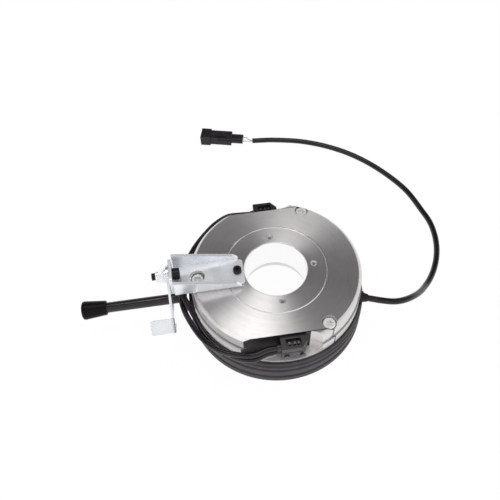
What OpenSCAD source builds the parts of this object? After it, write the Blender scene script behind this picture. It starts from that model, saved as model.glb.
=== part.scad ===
// Spring-applied motor brake with a hand release lever, a latch, two microswitches and a lead.
// Origin: centre of the bottom face on the brake axis, +Z towards the magnet body's top face.
// The lever and its bracket point along -X, the front microswitch faces -Y.

/* [Magnet body] */
// Step from the lower band to the side above the groove
band_step = 1.25; // [0.75:0.25:1.75]
// Height of the magnet body
body_h = 31; // [29:0.5:34]
// Chamfer round the top edge
top_chamfer = 2.8; // [1:0.2:3.4]
// Height of the lower band
band_h = 17; // [15:0.5:18]
// Height of the groove above the band
groove_w = 1.6; // [0.8:0.2:2.4]
// Depth of the groove below the upper side
groove_depth = 1; // [0.4:0.2:1.6]
// Diameter of the through bore
bore_d = 53; // [48:1:54]
// Diameter of the centring recess in the top face
recess_d = 85; // [82:1:90]
// Depth of the centring recess
recess_depth = 0.5; // [0.3:0.1:0.8]
// Diameter of the hollow that widens the recess's edge at the front
hollow_d = 10; // [8:0.5:12]
// How far the hollow reaches past the recess's edge
hollow_reach = 2; // [1:0.25:3]
// How far the two side flats are set in from the band
flat_inset = 10.75; // [9.75:0.25:11.25]
// Where the flats run out towards +X
flat_end_x = 14; // [10:1:15]
// Radius of the hollow that ends each flat
flat_end_r = 18; // [14:1:22]
// Height of the ledge left below each flat
ledge_h = 6; // [5:0.5:7]
// Diameter of the accessory holes in the top face
tap_d = 3.3; // [3:0.1:3.6]
// Depth of the accessory holes
tap_depth = 12; // [8:1:12]
// Radius of the accessory holes' circle
tap_circle_r = 32.4; // [32:0.2:33.4]

/* [Coil and springs] */
// Inner diameter of the winding pocket
coil_inner_d = 77; // [76:0.5:80]
// Wall between the winding pocket and the lever's slot
coil_wall = 1.8; // [1:0.1:3]
// Depth of the winding pocket
coil_h = 18; // [14:1:20]
// Number of pressure springs
spring_count = 6; // [3:1:8]
// Outer diameter of a pressure spring
spring_d = 6; // [5:0.5:6]
// Wire diameter of a pressure spring
spring_wire_d = 1.2; // [0.8:0.1:1.3]
// Depth of a spring's hole in the magnet body
spring_hole_depth = 10; // [8:1:12]
// Depth of a spring's seat in the armature plate
spring_seat_depth = 2; // [1:0.5:3]

/* [Brake stack] */
// Thickness of the flange plate
flange_t = 7; // [6:0.5:9]
// How far the flange plate's edge is set in from the band
flange_inset = 0.25; // [0:0.25:0.75]
// Opening of the flange plate
flange_bore_d = 88; // [80:1:90]
// Thickness of the friction disc over its linings
disc_t = 11.4; // [10:0.2:12]
// Running clearance on each face of the friction disc
disc_clearance = 0.1; // [0.1:0.05:0.2]
// Diameter of the friction disc, which the rest of the brake is built round
disc_d = 120; // [116:1:124]
// Gap between the friction disc and the spacer sleeves
disc_gap = 1; // [0.6:0.1:3]
// Thickness of one lining
lining_t = 3; // [2:0.25:3.5]
// Width of the linings, from their inner to their outer edge
lining_w = 12; // [9:0.5:13]
// Root diameter of the disc's inner teeth
tooth_root_d = 90; // [88:1:91]
// Height of the disc's inner teeth
tooth_h = 2.4; // [1.6:0.2:3]
// Number of the disc's inner teeth
tooth_count = 36; // [24:2:40]
// How far the armature plate's edge is set in from the band
armature_inset = 3.25; // [2.75:0.25:4.25]
// How far the armature plate's opening is set back from the bore
armature_setback = 1.5; // [1:0.25:2]
// Air gap between the armature plate and the magnet body
air_gap = 0.4; // [0.3:0.05:0.5]
// Thickness of the armature plate
armature_t = 6; // [5.5:0.1:6.5]

/* [Mounting screws] */
// Distance from the middle of a mounting screw to the magnet body's edge
screw_inset = 7.25; // [7:0.25:8.5]
// Thread diameter of the mounting screws
screw_d = 6; // [5.5:0.5:6]
// Head diameter of the mounting screws
screw_head_d = 10; // [9.5:0.5:10.5]
// Head height of the mounting screws
screw_head_h = 6; // [5:0.5:6.5]
// Depth of the heads below the top face
screw_recess = 1; // [0.5:0.25:2]
// Gap round a mounting screw's head
screw_head_gap = 0.8; // [0.5:0.1:1]
// Diameter of the spacer sleeves
sleeve_d = 10; // [9:0.5:10]
// Diameter of the motor fastening holes in the flange plate
motor_hole_d = 6.6; // [6.2:0.2:7]
// Head recess diameter of the motor fastening holes
motor_sink_d = 11; // [10:0.5:12]

/* [Dust ring] */
// Height of the dust ring
ring_h = 29.5; // [28:0.5:30.5]
// Wall of the dust ring between its beads
ring_wall = 2.25; // [1.75:0.25:3]
// Depth of the grooves between the beads
ring_groove = 1.2; // [0.8:0.1:1.6]
// Width of the grooves between the beads
ring_groove_w = 2.4; // [1.6:0.2:3]
// Height of the lowest bead
low_bead_h = 7; // [5:0.5:8]
// Height of the middle bead
middle_bead_h = 8.6; // [7:0.2:9]
// Height of the plain lip above the beads
ring_lip_h = 4.5; // [3:0.5:6]

/* [Lever bracket] */
// Thickness of the folded sheet
sheet_t = 2.5; // [2:0.25:3]
// Width over the two side walls
bracket_w = 30; // [29:0.5:32]
// Distance of the end wall's outer face from the axis
bracket_reach = 88; // [87:0.5:90]
// Height of the walls at the outer end
wall_high = 18; // [17:0.5:20]
// Height of the walls at the inner end
wall_low = 7; // [5:0.5:9]
// Where the side walls end towards the bore
wall_end_x = 34; // [33:0.5:36]
// Width of the tongue at the inner end
tongue_w = 23; // [20:0.5:24]
// Diameter of the hole round the mounting screw
bracket_hole_d = 12.5; // [12:0.5:13]
// Thread diameter of the bracket's own screw
bracket_screw_d = 4; // [3.8:0.1:4.2]
// Head diameter of the bracket's own screw
bracket_head_d = 7; // [6.5:0.25:7.5]

/* [Latch] */
// Height of the latch bolt above the top face
latch_bolt_z = 10.6; // [10:0.2:11.4]
// Thread diameter of the latch bolt
latch_bolt_d = 6; // [5:0.5:6]
// Thickness of the latch plate
latch_t = 2; // [1.5:0.25:2.5]
// Diameter of the latch's round eye
latch_eye_d = 17; // [16:0.5:18]
// Width of the latch below its eye
latch_w = 17; // [16:0.5:18]
// Distance of the latch's back edge from its middle line
latch_back = 9.5; // [8.5:0.25:10]
// Length of the latch below the rod's opening
latch_lip = 4.5; // [4:0.25:6]
// Distance from the latch's lower end to the thumb tab
tab_edge = 0.9; // [0.6:0.1:2]
// Width of the thumb tab
tab_w = 11.6; // [10:0.2:12]
// Length of the thumb tab
tab_len = 17.5; // [14:0.5:20]
// Angle of the latch below the horizontal when it is swung open
latch_rest = 40; // [30:1:45]

/* [Release lever] */
// Height of the lever above the magnet body's underside
lever_rise = 4; // [3.75:0.25:5]
// Diameter of the lever rod
rod_d = 9; // [8:0.25:9.25]
// Distance of the lever's tip from the brake axis
lever_reach = 168; // [150:1:180]
// Length of the rubber grip
grip_len = 21; // [18:1:30]
// Grip diameter at its inner end
grip_small_d = 12.4; // [11:0.2:14]
// Grip diameter at its outer end
grip_large_d = 16; // [14:0.2:18]
// How far the fork's pins stand inside the screws' circle
fork_pin_inset = 4; // [3.5:0.25:4.5]
// Diameter of the fork's pins
fork_pin_d = 4; // [3:0.25:4]
// Angle that the lever turns through to release the brake
lever_turn = 7; // [5:0.5:7.5]
// Width over the fork's two arms
fork_w = 24; // [23:0.5:25]
// Thickness of one fork arm
fork_arm = 5.4; // [4.5:0.2:5.6]
// Height of the fork's arms
fork_h = 7.2; // [6.4:0.2:7.4]

/* [Microswitches] */
// Length of a switch housing along the flat
switch_len = 21; // [20:0.5:22]
// Depth of a switch housing out from the flat
switch_depth = 11.4; // [10.5:0.2:12]
// Height of a switch housing
switch_h = 17; // [15:0.5:18]
// Distance of a switch's top below the top face
switch_drop = 3; // [2:0.25:3]
// Distance from the flats' end to the front switch
front_switch_gap = 0.5; // [0.5:0.25:3]
// Distance from the flats' end to the rear switch
rear_switch_gap = 2; // [0.5:0.25:4]
// Diameter of a switch's plunger
plunger_d = 3; // [2.4:0.2:3.4]
// Diameter of the fastening screws of a switch
switch_screw_d = 2.5; // [2:0.1:2.8]

/* [Leads and plug] */
// Diameter of the main lead
lead_d = 5.5; // [5:0.1:6]
// Diameter of the switch leads
switch_lead_d = 4.6; // [4:0.1:5]
// Diameter of one inner wire
wire_d = 1.6; // [1.2:0.1:2]
// Length of the plug
plug_len = 47; // [44:0.5:52]
// Width of the plug's mouth
mouth_w = 14.5; // [13:0.5:17]
// Height of the plug's mouth
mouth_h = 11.5; // [11:0.5:14]
// Length of the plug's mouth
mouth_len = 10.8; // [8:0.2:12]
// Length of the plug's rear part
plug_rear_len = 12.6; // [10:0.2:14]
// Distance between the two wire seals
seal_pitch = 6; // [5.4:0.2:6.4]

/* [Hidden] */
$fn = 96;
tiny = 0.01;
cut = 1;

// Gap between pieces that slide past each other, and round what is pressed or screwed in
slide_gap = 0.4;
fit_gap = 0.05;

// Diameters of the stack, from the friction disc out to the dust ring
lining_inner_d = disc_d - 2 * lining_w;
screw_circle_r = disc_d / 2 + disc_gap + sleeve_d / 2;
body_d = 2 * (screw_circle_r + screw_inset);
upper_d = body_d - 2 * band_step;
flange_d = body_d - 2 * flange_inset;
armature_d = body_d - 2 * armature_inset;
armature_bore_d = bore_d + 2 * armature_setback;
flat_y = body_d / 2 - flat_inset;
ring_gap = 0.3;
ring_d = body_d + 2 * (ring_gap + ring_wall + ring_groove);

// Heights of the stack, from the bottom face up
disc_z = flange_t + disc_clearance;
armature_z = flange_t + disc_t + 2 * disc_clearance;
body_z = armature_z + armature_t + air_gap;
top_z = body_z + body_h;
groove_z = body_z + band_h - groove_w;
ledge_z = body_z + ledge_h;
lever_z = body_z + lever_rise;
lever_drop = top_z - lever_z;

// Springs stand on a circle between the bore and the winding
spring_circle_r = (bore_d + coil_inner_d) / 4;
spring_bore_d = spring_d + 1;

// The fork: its eyes, its arms, its claws and the bar that carries the rod
fork_pin_x = screw_circle_r - fork_pin_inset;
fork_eye_d = fork_pin_d + 2.6;
fork_pin_seat = 8;
fork_inner = fork_w / 2 - fork_arm;
claw_inner_x = fork_pin_x + 4.4;
fork_heel_x = fork_pin_x + 20;
fork_hub_d = rod_d + 4;
rod_neck_d = rod_d - 2;

// The lever's slot in the magnet body, and the winding behind it
slot_w = fork_w + 2 * slide_gap;
slot_inner_x = fork_pin_x - fork_eye_d / 2 - slide_gap;
slot_top_z = lever_z + fork_h / 2 + (body_d / 2 - fork_pin_x) * tan(lever_turn) + 2;
coil_outer_d = 2 * (slot_inner_x - coil_wall);

// Switch places: side -1 is the front, side 1 the rear
switch_top_z = top_z - switch_drop;
switch_bottom_z = switch_top_z - switch_h;
switch_y = flat_y;
front_switch_x = flat_end_x - front_switch_gap - switch_len / 2;
rear_switch_x = flat_end_x - rear_switch_gap - switch_len / 2;
plunger_out = 2.4;
plunger_z = switch_bottom_z - plunger_out;
plunger_y = switch_y + 4.2;
adjuster_d = 4;
switch_screw_z = switch_bottom_z + 4.5;
switch_grip = 3.2;
boot_len = 3;
boot_y = 5.8;
upper_boot_z = switch_top_z - 6;
lower_boot_z = switch_top_z - 12.5;

// Gland of the main lead and entry of the switch lead
gland_angle = -20;
gland_z = body_z + 7;
gland_neck = 7;
gland_neck_d = 8;
gland_collar_d = 10.6;
gland_collar_h = 2.4;
gland_out = 6.75;
lead_hole_angle = 171;
lead_hole_z = top_z - 7.2;

screw_count = 3;
screw_angles = [for (i = [0:screw_count - 1]) 60 + i * 360 / screw_count];
latch_z = top_z + latch_bolt_z;
latch_gap = 0.2;
latch_face_x = bracket_reach + latch_gap;
washer_face_x = latch_face_x + latch_t + latch_gap;
rod_notch_r = rod_d / 2 + slide_gap;
latch_len = latch_bolt_z + lever_drop + rod_notch_r + latch_lip;
tab_from = latch_len - tab_edge - tab_w;
tab_bend_r = latch_t + 0.6;
washer_t = 1.4;
nut_h = 7.2;
nut_hex_h = 4.6;
nut_af = 10;
grip_bore = 15;

// Plug: depth of its mouth and diameter of its wire seals
mouth_cavity = 16;
seal_d = 3.6;
contact_setback = 6;

// Routes of the leads, as round numbers along their middle lines
link_route = [[-10.6, -68.3, 47], [-18, -68.8, 46.9], [-30, -71, 45.6], [-42, -68, 44],
              [-56, -61.4, 43], [-68, -48.6, 42.2], [-76.6, -31, 41.6], [-81.2, -16, 41.2],
              [-82, -1, 41.4], [-79, 14, 42.6], [-73, 29, 43], [-65.6, 42, 43], [-56, 53.6, 43.5],
              [-45, 64, 44], [-33, 70, 45], [-22, 69.4, 46], [-12.1, 68.3, 46.5]];
switch_lead_route = [[-10.6, -68.3, 40.5], [-19, -69.4, 40.3], [-31, -72, 39.2], [-45, -66.6, 38.6],
                     [-57, -55.6, 38.6], [-66, -43, 39], [-71.4, -30, 41.6], [-76, -19, 45.8],
                     [-80.4, -8, 48.2], [-82, -2.6, 48.7], [-82, 2.4, 48.8], [-80.5, 7.4, 48.8],
                     [-76.7, 10.6, 48.8], [-71.6, 11.3, 48.8], [-66, 10.5, 48.8]];
main_route = [[75.2, -27.4, 32], [87, -31.7, 32], [97.2, -33.4, 30.6], [106.8, -32, 28.4],
              [116.6, -27.6, 24.2], [127.4, -19.4, 15.4], [137, -10, 7.4], [145.6, -0.8, 4.2],
              [153.2, 9.6, 3], [159.6, 21.4, 2.8], [164.4, 34.6, 2.8], [167.2, 48.8, 2.8],
              [167.6, 64, 2.8], [164.5, 80, 2.8], [156, 111, 2.8], [137, 143, 2.8], [114.5, 168, 2.8],
              [89.5, 186, 2.8], [62.5, 198.5, 2.8], [34.5, 205.5, 2.8], [20, 207.5, 2.8],
              [9.5, 208.5, 2.8]];
plug_at = [-1, 209.8, 0];
plug_turn = 165;

// A unit vector
function unit(v) = v / norm(v);

// A point at distance s, counted in route points, on the smooth curve through a route
function route_at(route, s) =
    let (last = len(route) - 1,
         i = min(floor(s), last - 1),
         f = s - i,
         a = i > 0 ? route[i - 1] : 2 * route[0] - route[1],
         b = route[i],
         c = route[i + 1],
         d = i < last - 1 ? route[i + 2] : 2 * route[last] - route[last - 1])
    b + 0.5 * f * ((c - a) + f * ((2 * a - 5 * b + 4 * c - d) + f * (3 * (b - c) + d - a)));

// The corners of the lead's outline at distance s
function ring_at(route, s, radius, sides) =
    let (last = len(route) - 1,
         ahead = unit(route_at(route, min(s + 0.05, last)) - route_at(route, max(s - 0.05, 0))),
         across = unit(cross(ahead, [0, 0, 1])),
         above = cross(across, ahead))
    [for (k = [0:sides - 1])
        route_at(route, s) + radius * (cos(360 * k / sides) * across + sin(360 * k / sides) * above)];

// Faces of a tube of rings, with flat ends and two triangles to each cell
function tube_faces(rings, sides) =
    concat([[for (k = [0:sides - 1]) k]],
           [[for (k = [sides - 1:-1:0]) (rings - 1) * sides + k]],
           [for (i = [0:rings - 2]) for (k = [0:sides - 1]) for (half = [0, 1])
               let (next = (k + 1) % sides, here = i * sides, ahead = here + sides)
               half == 0 ? [here + next, here + k, ahead + k] : [here + next, ahead + k, ahead + next]]);

module tube(route, diameter, rings, sides) {
    last = len(route) - 1;
    points = [for (i = [0:rings - 1]) each ring_at(route, last * i / (rings - 1), diameter / 2, sides)];
    polyhedron(points, tube_faces(rings, sides));
}

// A round bar between two radii of one axis
module washer(outer_d, inner_d, height) {
    difference() {
        cylinder(d = outer_d, h = height);
        translate([0, 0, -cut]) cylinder(d = inner_d, h = height + 2 * cut);
    }
}

// A box centred on X and Y
module block(x, y, z) {
    translate([-x / 2, -y / 2, 0]) cube([x, y, z]);
}

// Puts its children at each mounting screw
module at_screws() {
    for (angle = screw_angles) rotate(angle) translate([screw_circle_r, 0, 0]) children();
}

// Mirrors its children to the front or the rear flat
module on_side(side) {
    if (side < 0) mirror([0, 1, 0]) children();
    if (side > 0) children();
}

// A socket head screw, head up, with the underside of its head at z 0
module cap_screw(thread_d, head_d, head_h, length) {
    socket_af = thread_d * 0.83;
    chamfer = head_d * 0.06;
    difference() {
        union() {
            cylinder(d = head_d, h = head_h - chamfer);
            translate([0, 0, head_h - chamfer])
                cylinder(d1 = head_d, d2 = head_d - 2 * chamfer, h = chamfer);
            translate([0, 0, -length]) cylinder(d = thread_d, h = length + tiny);
        }
        translate([0, 0, head_h * 0.45])
            cylinder(d = socket_af / cos(30), h = head_h, $fn = 6);
    }
}

// The flat along one side of the magnet body, ending in a hollow towards the screw's lobe
module side_flat() {
    height = body_h - ledge_h + cut;
    translate([-body_d, flat_y, ledge_z]) cube([body_d + flat_end_x, body_d, height]);
    difference() {
        translate([flat_end_x, flat_y, ledge_z]) cube([flat_end_r, body_d, height]);
        translate([flat_end_x - cut, flat_y - cut, ledge_z - cut])
            cube([flat_end_r + 2 * cut, cut, height + 2 * cut]);
        difference() {
            translate([flat_end_x, flat_y - cut, ledge_z - cut])
                cube([flat_end_r + cut, flat_end_r + 2 * cut + body_d, height + 2 * cut]);
            translate([flat_end_x, flat_y + flat_end_r, ledge_z - 2 * cut])
                cylinder(r = flat_end_r, h = height + 4 * cut);
        }
    }
}

module magnet_body() {
    color([0.78, 0.77, 0.76])
    difference() {
        rotate_extrude()
            polygon([[bore_d / 2, body_z], [body_d / 2 - 0.6, body_z], [body_d / 2, body_z + 0.6],
                     [body_d / 2, groove_z], [upper_d / 2 - groove_depth, groove_z],
                     [upper_d / 2 - groove_depth, groove_z + groove_w], [upper_d / 2, groove_z + groove_w],
                     [upper_d / 2, top_z - top_chamfer], [upper_d / 2 - top_chamfer, top_z],
                     [recess_d / 2 + 0.4, top_z], [recess_d / 2, top_z - 0.4],
                     [recess_d / 2, top_z - recess_depth], [bore_d / 2 + 0.6, top_z - recess_depth],
                     [bore_d / 2, top_z - recess_depth - 0.6]]);
        coil_pocket();
        spring_holes();
        accessory_holes();
        side_flat();
        mirror([0, 1, 0]) side_flat();
        at_screws() {
            translate([0, 0, body_z - cut]) cylinder(d = screw_d + 1, h = body_h + 2 * cut);
            translate([0, 0, top_z - screw_head_h - screw_recess])
                cylinder(d = screw_head_d + 2 * screw_head_gap, h = screw_head_h + screw_recess + cut);
        }
        rotate(-99) translate([(recess_d - hollow_d) / 2 + hollow_reach, 0, top_z - recess_depth])
            cylinder(d = hollow_d, h = recess_depth + cut);
        lever_slot();
        fork_pin_holes();
        for (side = [-1, 1]) on_side(side) switch_passages(side);
        lead_passages();
    }
}

module coil_pocket() {
    translate([0, 0, body_z - cut]) washer(coil_outer_d, coil_inner_d, coil_h + cut);
}

module spring_holes() {
    for (i = [0:spring_count - 1]) rotate(30 + i * 360 / spring_count)
        translate([spring_circle_r, 0, body_z - cut])
            cylinder(d = spring_bore_d, h = spring_hole_depth + cut);
}

module accessory_holes() {
    for (i = [0:3]) rotate(i * 90) translate([tap_circle_r, 0, 0]) {
        hole_d = i == 2 ? bracket_screw_d + 2 * fit_gap : tap_d;
        translate([0, 0, top_z - recess_depth - tap_depth]) cylinder(d = hole_d, h = tap_depth + cut);
        translate([0, 0, top_z - recess_depth - 0.5])
            cylinder(d1 = hole_d, d2 = hole_d + 1 + 2 * tiny, h = 0.5 + tiny);
    }
}

module lever_slot() {
    translate([-body_d / 2 - cut, -slot_w / 2, body_z - cut])
        cube([body_d / 2 + cut - slot_inner_x, slot_w, slot_top_z - body_z + cut]);
}

module fork_pin_holes() {
    translate([-fork_pin_x, -body_d / 2, lever_z]) rotate([-90, 0, 0])
        cylinder(d = fork_pin_d + 2 * fit_gap, h = body_d);
}

module switch_passages(side) {
    x = switch_x(side);
    translate([x, plunger_y, body_z - cut]) cylinder(d = adjuster_d + 3, h = ledge_h + 2 * cut);
    for (dx = [-1, 1]) translate([x + dx * switch_len * 0.3, flat_y + cut, switch_screw_z])
        rotate([90, 0, 0]) cylinder(d = switch_screw_d + 2 * fit_gap, h = switch_grip + 0.6 + cut);
}

module lead_passages() {
    rotate(gland_angle) translate([body_d / 2 - gland_neck, 0, gland_z]) rotate([0, 90, 0])
        cylinder(d = gland_neck_d + 2 * fit_gap, h = gland_neck + cut);
    rotate(lead_hole_angle) translate([body_d / 2 - 8, 0, lead_hole_z]) rotate([0, 90, 0])
        cylinder(d = switch_lead_d + 1, h = 8 + cut);
}

function switch_x(side) = side < 0 ? front_switch_x : rear_switch_x;

module coil() {
    color([0.72, 0.45, 0.25])
    translate([0, 0, body_z + 0.5])
        washer(coil_outer_d - 2 * fit_gap, coil_inner_d + 2 * fit_gap, coil_h - 0.5 - fit_gap);
}

// The wire's middle line of one pressure spring, from its lower to its upper end
function spring_line(turns, steps) =
    let (bottom = armature_z + armature_t - spring_seat_depth + spring_wire_d / 2 + fit_gap,
         height = body_z + spring_hole_depth - spring_wire_d / 2 - fit_gap - bottom,
         radius = (spring_d - spring_wire_d) / 2)
    [for (i = [0:turns * steps])
        [radius * cos(360 * i / steps), radius * sin(360 * i / steps),
         bottom + height * i / (turns * steps)]];

module pressure_springs() {
    turns = 5;
    steps = 8;
    line = spring_line(turns, steps);
    color([0.5, 0.5, 0.52])
    for (i = [0:spring_count - 1]) rotate(30 + i * 360 / spring_count)
        translate([spring_circle_r, 0, 0])
            tube(line, spring_wire_d, turns * steps + 1, 6);
}

module armature_plate() {
    color([0.55, 0.55, 0.56])
    difference() {
        translate([0, 0, armature_z]) washer(armature_d, armature_bore_d, armature_t);
        for (i = [0:spring_count - 1]) rotate(30 + i * 360 / spring_count)
            translate([spring_circle_r, 0, armature_z + armature_t - spring_seat_depth])
                cylinder(d = spring_bore_d, h = spring_seat_depth + cut);
        at_screws() translate([0, 0, armature_z - cut]) {
            cylinder(d = sleeve_d + 2 * slide_gap, h = armature_t + 2 * cut);
            translate([0, -sleeve_d / 2 - slide_gap, 0])
                cube([armature_d, sleeve_d + 2 * slide_gap, armature_t + 2 * cut]);
        }
        for (side = [-1, 1]) {
            translate([-armature_d, side > 0 ? fork_inner - slide_gap : -fork_w / 2 - slide_gap,
                       armature_z - cut])
                cube([armature_d - claw_inner_x + slide_gap, fork_arm + 2 * slide_gap,
                      armature_t + 2 * cut]);
            on_side(side) translate([switch_x(side), plunger_y, armature_z - cut])
                cylinder(d = adjuster_d + 2 * fit_gap, h = armature_t + 2 * cut);
        }
    }
}

module switch_adjusters() {
    top = plunger_z - 0.1;
    color([0.75, 0.75, 0.78])
    for (side = [-1, 1]) on_side(side) translate([switch_x(side), plunger_y, 0]) {
        translate([0, 0, armature_z]) cylinder(d = adjuster_d, h = top - armature_z);
        translate([0, 0, armature_z + armature_t])
            cylinder(d = adjuster_d + 2.2, h = 0.2, $fn = 6);
    }
}

// The toothed opening of the friction disc, one tooth after another
function tooth_outline(count, root_r, tip_r) =
    [for (i = [0:count - 1]) for (corner = [[0.00, root_r], [0.44, root_r], [0.60, tip_r], [0.84, tip_r]])
        let (angle = 360 * (i + corner[0]) / count)
        [corner[1] * cos(angle), corner[1] * sin(angle)]];

module friction_disc() {
    color([0.62, 0.62, 0.64])
    translate([0, 0, disc_z + lining_t])
    difference() {
        cylinder(d = disc_d, h = disc_t - 2 * lining_t);
        translate([0, 0, -cut]) linear_extrude(disc_t)
            polygon(tooth_outline(tooth_count, tooth_root_d / 2, tooth_root_d / 2 - tooth_h));
    }
}

module friction_linings() {
    color([0.3, 0.27, 0.24])
    for (z = [disc_z, disc_z + disc_t - lining_t])
        translate([0, 0, z]) washer(disc_d, lining_inner_d, lining_t);
}

module flange_plate() {
    motor_sink_h = (motor_sink_d - motor_hole_d) / 2;
    color([0.5, 0.5, 0.52])
    difference() {
        washer(flange_d, flange_bore_d, flange_t);
        at_screws() translate([0, 0, -cut]) cylinder(d = screw_d + 2 * fit_gap, h = flange_t + 2 * cut);
        for (angle = screw_angles) rotate(angle + 60) translate([screw_circle_r, 0, 0]) {
            translate([0, 0, -cut]) cylinder(d = motor_hole_d, h = flange_t + 2 * cut);
            translate([0, 0, flange_t - motor_sink_h])
                cylinder(d1 = motor_hole_d, d2 = motor_sink_d + 2 * tiny, h = motor_sink_h + tiny);
        }
    }
}

// One bead of the dust ring's outline, from its lower to its upper end
function bead_outline(z, height, outer_r) =
    let (valley_r = ring_d / 2 - ring_groove, round_r = ring_groove / 2)
    [[valley_r, z], [outer_r - round_r * 0.4, z + round_r * 0.6], [outer_r, z + 2 * round_r],
     [outer_r, z + height - 2 * round_r], [outer_r - round_r * 0.4, z + height - round_r * 0.6],
     [valley_r, z + height]];

module dust_ring() {
    inner_r = body_d / 2 + ring_gap;
    outer_r = ring_d / 2;
    lip_r = inner_r + ring_wall - 0.4;
    middle_z = low_bead_h + ring_groove_w;
    high_z = middle_z + middle_bead_h + ring_groove_w;
    lip_z = ring_h - ring_lip_h;
    color([0.16, 0.15, 0.16])
    difference() {
        rotate_extrude()
            polygon(concat([[inner_r, 0], [outer_r - 0.8, 0], [outer_r, 0.8], [outer_r, low_bead_h - 1],
                            [outer_r - 0.4, low_bead_h - 0.4], [outer_r - ring_groove, low_bead_h]],
                           bead_outline(middle_z, middle_bead_h, outer_r - 0.2),
                           bead_outline(high_z, lip_z - high_z, outer_r - 0.5),
                           [[lip_r + 0.2, lip_z + 0.2], [lip_r, ring_h - 0.8], [lip_r - 0.6, ring_h],
                            [inner_r, ring_h]]));
        translate([-ring_d / 2 - cut, -slot_w / 2 - slide_gap, body_z - 1])
            cube([ring_d / 2, slot_w + 2 * slide_gap, ring_h]);
        rotate(gland_angle)
            translate([body_d / 2 - cut, -gland_collar_d / 2 - slide_gap,
                       gland_z - gland_collar_d / 2 - slide_gap])
                cube([ring_d / 2, gland_collar_d + 2 * slide_gap, ring_h]);
    }
}

module mounting_screws() {
    head_z = top_z - screw_head_h - screw_recess;
    color([0.72, 0.72, 0.72])
    at_screws() translate([0, 0, head_z])
        cap_screw(screw_d, screw_head_d, screw_head_h, head_z - 0.5);
}

module spacer_sleeves() {
    color([0.7, 0.66, 0.5])
    for (angle = screw_angles) rotate(angle) translate([screw_circle_r, 0, flange_t])
        washer(sleeve_d, screw_d + 2 * fit_gap, (angle == 180 ? slot_top_z : body_z) - flange_t);
}

// The folded sheet's section across the lever: a base with two side walls
module channel_section() {
    outer_r = 3;
    inner_r = 0.5;
    difference() {
        union() {
            translate([-bracket_w / 2, outer_r]) square([bracket_w, wall_high + cut - outer_r]);
            translate([-bracket_w / 2 + outer_r, 0]) square([bracket_w - 2 * outer_r, outer_r + tiny]);
            for (side = [-1, 1]) translate([side * (bracket_w / 2 - outer_r), outer_r]) circle(r = outer_r);
        }
        translate([-bracket_w / 2 + sheet_t, sheet_t + inner_r])
            square([bracket_w - 2 * sheet_t, wall_high + 2]);
        translate([-bracket_w / 2 + sheet_t + inner_r, sheet_t])
            square([bracket_w - 2 * sheet_t - 2 * inner_r, inner_r + tiny]);
        for (side = [-1, 1])
            translate([side * (bracket_w / 2 - sheet_t - inner_r), sheet_t + inner_r]) circle(r = inner_r);
    }
}

// The outline of a side wall, seen from the side, with its slanting top
module wall_outline() {
    outer_x = bracket_reach - sheet_t - 0.4;
    polygon([[-outer_x, 1.5], [-outer_x + 1.5, -cut], [-wall_end_x, -cut], [-wall_end_x + 3.6, 0.6],
             [-wall_end_x + 3.6, sheet_t + 0.6], [-wall_end_x, wall_low - 0.6], [-wall_end_x - 1, wall_low],
             [-outer_x + 5, wall_high - 0.8], [-outer_x, wall_high]]);
}

module lever_bracket() {
    base_inner_w = bracket_w - 2 * sheet_t - 1;
    tongue_end_x = bore_d / 2 + 0.6;
    color([0.86, 0.87, 0.9])
    translate([0, 0, top_z])
    difference() {
        union() {
            intersection() {
                translate([-bracket_reach, 0, 0]) rotate([90, 0, 90])
                    linear_extrude(bracket_reach) channel_section();
                translate([0, bracket_w / 2 + cut, 0]) rotate([90, 0, 0])
                    linear_extrude(bracket_w + 2 * cut) wall_outline();
            }
            // Base, with the end wall folded up from it
            translate([-bracket_reach + 3, -base_inner_w / 2, 0])
                cube([bracket_reach - 3 - wall_end_x, base_inner_w, sheet_t]);
            translate([-bracket_reach, -base_inner_w / 2, 3])
                cube([sheet_t, base_inner_w, wall_high - 3 - 3]);
            translate([-bracket_reach, -base_inner_w / 2 + 3, 3])
                cube([sheet_t, base_inner_w - 6, wall_high - 3]);
            for (side = [-1, 1]) translate([-bracket_reach, side * (base_inner_w / 2 - 3), wall_high - 3])
                rotate([0, 90, 0]) cylinder(r = 3, h = sheet_t);
            intersection() {
                translate([-bracket_reach + 3, base_inner_w / 2, 3]) rotate([90, 0, 0])
                    washer(6, 2 * (3 - sheet_t), base_inner_w);
                translate([-bracket_reach, -base_inner_w / 2, 0]) cube([3, base_inner_w, 3]);
            }
            // Tongue that reaches the bore
            translate([-wall_end_x - 1, -tongue_w / 2, 0])
                cube([wall_end_x + 1 - tongue_end_x - 2, tongue_w, sheet_t]);
            translate([-tongue_end_x - 2 - tiny, -tongue_w / 2 + 2, 0])
                cube([2 + tiny, tongue_w - 4, sheet_t]);
            for (side = [-1, 1]) translate([-tongue_end_x - 2, side * (tongue_w / 2 - 2), 0])
                cylinder(r = 2, h = sheet_t);
        }
        translate([-screw_circle_r, 0, -cut]) cylinder(d = bracket_hole_d, h = sheet_t + 2 * cut);
        translate([-tap_circle_r, 0, -cut]) cylinder(d = bracket_screw_d + 0.5, h = sheet_t + 2 * cut);
        translate([-bracket_reach - cut, 0, latch_bolt_z]) rotate([0, 90, 0])
            cylinder(d = latch_bolt_d + 2 * fit_gap, h = sheet_t + 2 * cut);
    }
}

module bracket_screw() {
    color([0.12, 0.12, 0.13])
    translate([-tap_circle_r, 0, top_z + sheet_t])
        cap_screw(bracket_screw_d, bracket_head_d, bracket_screw_d, sheet_t + tap_depth - 3);
}

module latch_bolt() {
    reach = sheet_t + washer_face_x - bracket_reach + washer_t + nut_h + 3.2;
    color([0.12, 0.12, 0.13])
    translate([-bracket_reach + sheet_t, 0, latch_z]) rotate([0, 90, 0])
        cap_screw(latch_bolt_d, 10, 6, reach);
}

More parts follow.
